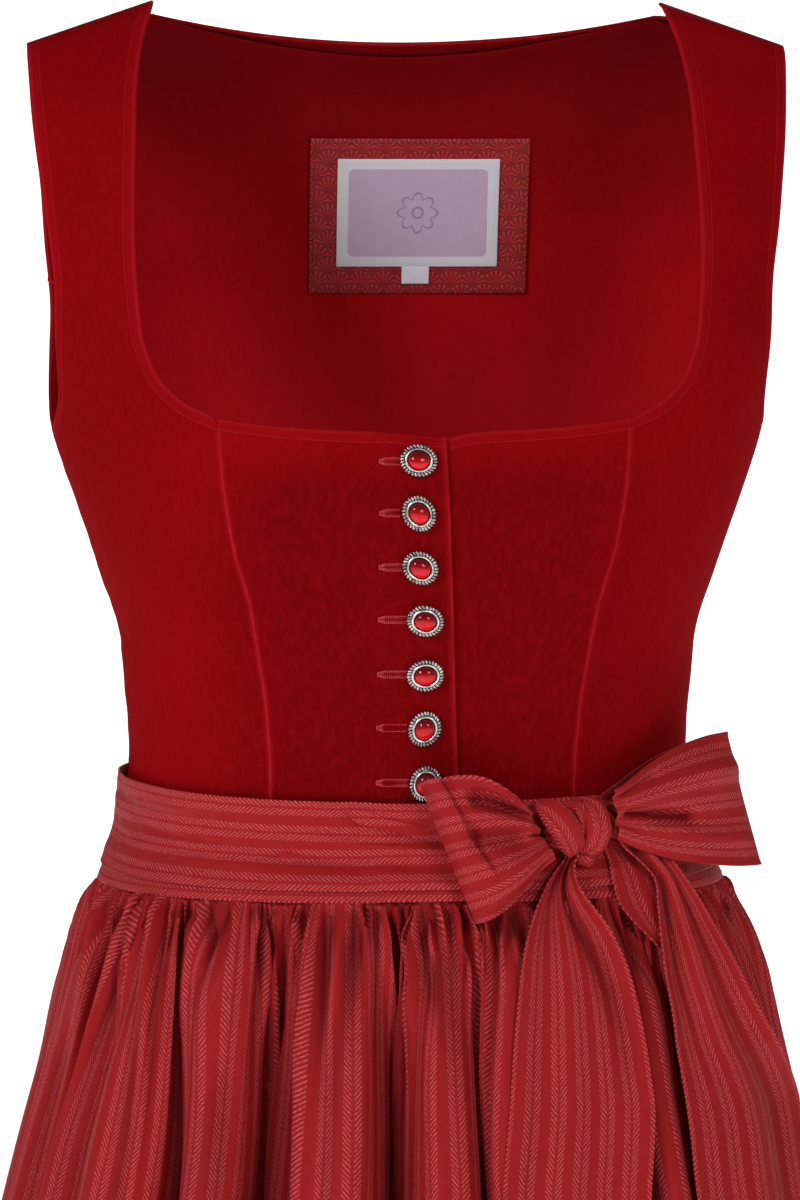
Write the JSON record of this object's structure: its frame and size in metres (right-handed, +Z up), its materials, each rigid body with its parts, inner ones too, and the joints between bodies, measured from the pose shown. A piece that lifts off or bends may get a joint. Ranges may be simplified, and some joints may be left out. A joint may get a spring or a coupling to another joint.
{
  "type": "dirndl",
  "caption": "Worn, hollow dirndl: square-necked velvet bodice buttoned down the front, gathered midi skirt, and a striped jacquard apron tied in a bow.",
  "frame": {"origin": "midway between the neck ends of the two shoulder seams, where the wearer's shoulders carry the dress", "axes": "+X to the wearer's left, +Y to the wearer's back, +Z up; the front faces -Y"},
  "size_m": [0.6047, 0.5398, 1.066],
  "materials": {
    "velvet": "deep red cotton velvet with a short pile",
    "lining": "plain dark red lining",
    "patch_jacquard": "red jacquard with small fans",
    "label_weave": "smooth woven label cloth, white and pale pink",
    "skirt_cloth": "plain matt red cotton",
    "apron_jacquard": "red jacquard with pink-red herringbone stripes and a soft sheen",
    "silver": "cast silver-coloured metal, slightly worn",
    "red_stone": "polished red cabochon"
  },
  "bodies": {
    "root": {"bodice_front_right": "velvet", "bodice_front_left": "velvet", "bodice_side_front_left": "velvet", "bodice_side_front_right": "velvet", "bodice_side_back_left": "velvet", "bodice_side_back_right": "velvet", "bodice_back": "velvet", "bodice_back_lining": "lining", "label_patch": "patch_jacquard", "label": "label_weave", "size_tag": "label_weave", "skirt_front_right": "skirt_cloth", "skirt_front_left": "skirt_cloth", "skirt_back_left": "skirt_cloth", "skirt_back_right": "skirt_cloth", "apron": "apron_jacquard", "apron_band": "apron_jacquard", "sash_left": "apron_jacquard", "sash_right": "apron_jacquard", "bow_knot": "apron_jacquard", "bow_loop_left": "apron_jacquard", "bow_loop_right": "apron_jacquard", "bow_tail_left": "apron_jacquard", "bow_tail_right": "apron_jacquard", "button_1": "silver", "button_2": "silver", "button_3": "silver", "button_4": "silver", "button_5": "silver", "button_6": "silver", "button_7": "silver", "button_stone_1": "red_stone", "button_stone_2": "red_stone", "button_stone_3": "red_stone", "button_stone_4": "red_stone", "button_stone_5": "red_stone", "button_stone_6": "red_stone", "button_stone_7": "red_stone"}
  },
  "joints": []
}
